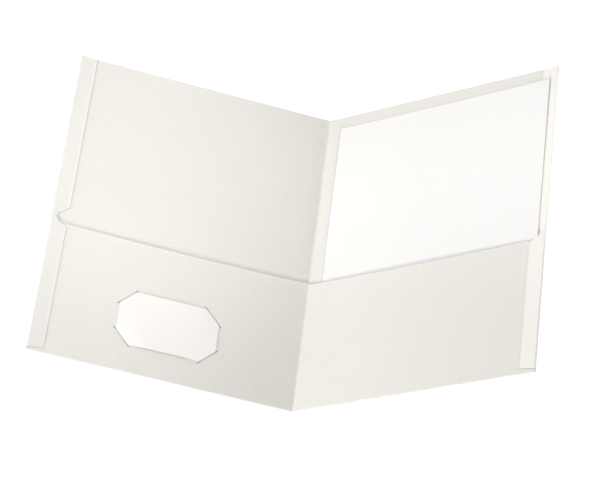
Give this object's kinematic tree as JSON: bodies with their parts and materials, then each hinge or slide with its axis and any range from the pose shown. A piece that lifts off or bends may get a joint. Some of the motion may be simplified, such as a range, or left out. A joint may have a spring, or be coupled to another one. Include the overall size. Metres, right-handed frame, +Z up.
{
  "type": "two pocket folder",
  "caption": "Open letter-size presentation folder in white embossed board, with folded side hems, inside pockets, a paper sheet and a business card tucked into slits.",
  "frame": {"origin": "where the spine crease crosses the bottom crease, on the outside face of the right cover, which lies on the table", "axes": "+X from the spine to the right cover's outer edge, +Y up the spine from the bottom crease to the top edge, +Z up from the table"},
  "size_m": [0.3886, 0.2967, 0.1821],
  "materials": {
    "embossed_board": "matte, fine leather grain",
    "letter_paper": "matte, smooth",
    "card_stock": "matte, smooth",
    "glue": "dried film"
  },
  "bodies": {
    "right_half": {"right_cover": "embossed_board", "right_pocket": "embossed_board", "right_upper_hem": "embossed_board", "right_hem_neck": "embossed_board", "right_lower_hem": "embossed_board", "right_edge_fold": "embossed_board", "right_bottom_fold": "embossed_board", "right_cover_glue": "glue", "right_pocket_glue": "glue", "spine_crease": "embossed_board"},
    "left_half": {"left_cover": "embossed_board", "left_pocket": "embossed_board", "left_upper_hem": "embossed_board", "left_hem_neck": "embossed_board", "left_lower_hem": "embossed_board", "left_edge_fold": "embossed_board", "left_bottom_fold": "embossed_board", "left_cover_glue": "glue", "left_pocket_glue": "glue"},
    "sheet": {"letter_sheet": "letter_paper"},
    "card": {"business_card": "card_stock", "card_corners": "card_stock"}
  },
  "joints": [
    {"name": "spine_fold", "type": "hinge", "parent": "right_half", "child": "left_half", "pos_m": [0, 0, 0.00251], "axis": [0, 1, 0], "range_deg": [-50, 130], "deforming": ["spine_crease"]},
    {"name": "sheet_slide", "type": "slide", "parent": "right_half", "child": "sheet", "axis": [0, 1, 0], "range_m": [-0.0047, 0.122]},
    {"name": "card_slide", "type": "slide", "parent": "left_half", "child": "card", "axis": [0, 1, 0], "range_m": [0, 0.105], "deforming": ["card_corners"]}
  ]
}
